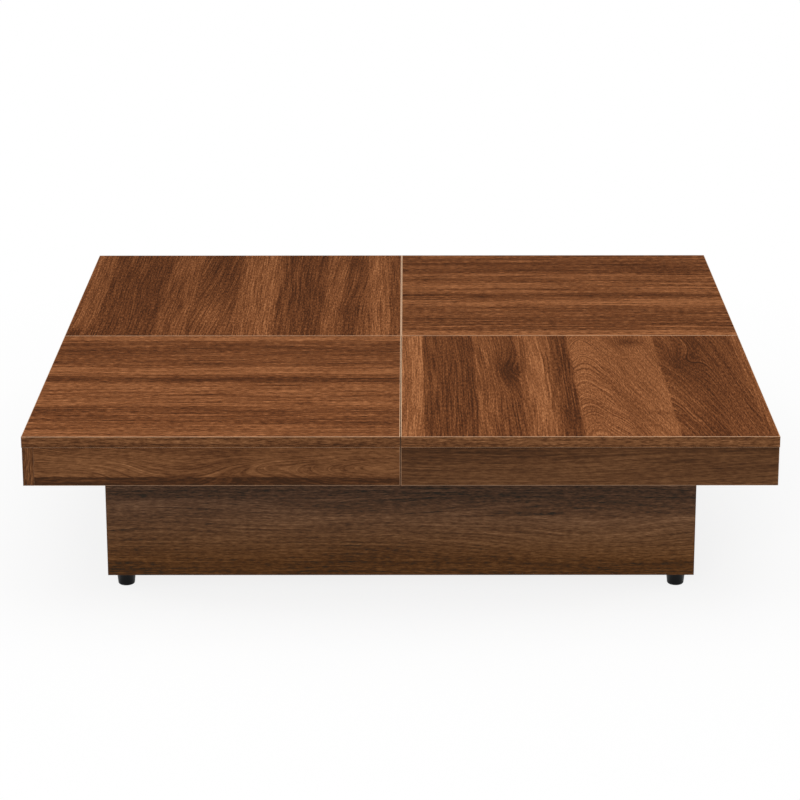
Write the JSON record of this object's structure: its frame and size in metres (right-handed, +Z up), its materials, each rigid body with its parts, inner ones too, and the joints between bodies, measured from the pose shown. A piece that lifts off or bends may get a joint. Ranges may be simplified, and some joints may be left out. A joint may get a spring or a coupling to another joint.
{
  "type": "sliding top coffee table",
  "caption": "Low square coffee table whose top halves slide apart over a recessed storage plinth on glide feet, with chequered walnut-effect panels.",
  "frame": {"origin": "on the floor under the middle of the closed table", "axes": "+Z up, +X to the right along the halves' sliding direction, -Y to the front that the picture shows"},
  "size_m": [1, 1, 0.25],
  "materials": {
    "walnut_top_board": "satin walnut-effect laminate",
    "walnut_apron_board": "satin walnut-effect laminate",
    "walnut_plinth_board": "satin dark walnut-effect laminate",
    "edge_band": "walnut-effect plastic edge band with tan cut edges",
    "batten_wood": "planed pale hardwood",
    "dowel_wood": "beech dowel",
    "zinc_steel": "bright zinc-plated steel",
    "zinc_casting": "die-cast zinc",
    "foot_plastic": "moulded black plastic"
  },
  "bodies": {
    "plinth": {"plinth_front_board": "walnut_plinth_board", "plinth_back_board": "walnut_plinth_board", "plinth_left_board": "walnut_plinth_board", "plinth_right_board": "walnut_plinth_board", "bottom_board": "walnut_plinth_board", "divider_board": "walnut_plinth_board", "plinth_edge_bands": "edge_band", "cam_locks": "zinc_casting", "cam_bolts": "zinc_steel", "corner_dowels": "dowel_wood", "divider_dowels": "dowel_wood", "divider_screws": "zinc_steel", "foot_front_left": "foot_plastic", "foot_front_right": "foot_plastic", "foot_back_left": "foot_plastic", "foot_back_right": "foot_plastic", "foot_screws": "zinc_steel", "slide_fixed_front_left": "zinc_steel", "slide_fixed_front_right": "zinc_steel", "slide_fixed_back_left": "zinc_steel", "slide_fixed_back_right": "zinc_steel", "fixed_slide_screws": "zinc_steel"},
    "left_top": {"left_front_panel": "walnut_top_board", "left_back_panel": "walnut_top_board", "left_panel_edge_bands": "edge_band", "left_front_apron": "walnut_apron_board", "left_back_apron": "walnut_apron_board", "left_side_apron": "walnut_apron_board", "left_apron_edge_bands": "edge_band", "left_front_runner": "batten_wood", "left_back_runner": "batten_wood", "left_centre_batten": "batten_wood", "left_inner_batten": "batten_wood", "slide_moving_front_left": "zinc_steel", "slide_moving_back_left": "zinc_steel", "left_apron_dowels": "dowel_wood", "left_brackets": "zinc_steel", "left_board_screws": "zinc_steel", "left_small_screws": "zinc_steel"},
    "right_top": {"right_front_panel": "walnut_top_board", "right_back_panel": "walnut_top_board", "right_panel_edge_bands": "edge_band", "right_front_apron": "walnut_apron_board", "right_back_apron": "walnut_apron_board", "right_side_apron": "walnut_apron_board", "right_apron_edge_bands": "edge_band", "right_front_runner": "batten_wood", "right_back_runner": "batten_wood", "right_centre_batten": "batten_wood", "right_inner_batten": "batten_wood", "slide_moving_front_right": "zinc_steel", "slide_moving_back_right": "zinc_steel", "right_apron_dowels": "dowel_wood", "right_brackets": "zinc_steel", "right_board_screws": "zinc_steel", "right_small_screws": "zinc_steel"},
    "left_ball_cages": {"cage_front_left": "zinc_steel", "cage_back_left": "zinc_steel"},
    "right_ball_cages": {"cage_front_right": "zinc_steel", "cage_back_right": "zinc_steel"}
  },
  "joints": [
    {"name": "left_top_slide", "type": "slide", "parent": "plinth", "child": "left_top", "axis": [-1, 0, 0], "range_m": [0, 0.25]},
    {"name": "right_top_slide", "type": "slide", "parent": "plinth", "child": "right_top", "axis": [1, 0, 0], "range_m": [0, 0.25]},
    {"name": "left_cage_slide", "type": "slide", "parent": "plinth", "child": "left_ball_cages", "axis": [-1, 0, 0], "range_m": [0, 0.125]},
    {"name": "right_cage_slide", "type": "slide", "parent": "plinth", "child": "right_ball_cages", "axis": [1, 0, 0], "range_m": [0, 0.125]}
  ],
  "couplings": [
    {"joint": "left_cage_slide", "follows": "left_top_slide", "ratio": 0.5},
    {"joint": "right_cage_slide", "follows": "right_top_slide", "ratio": 0.5}
  ]
}
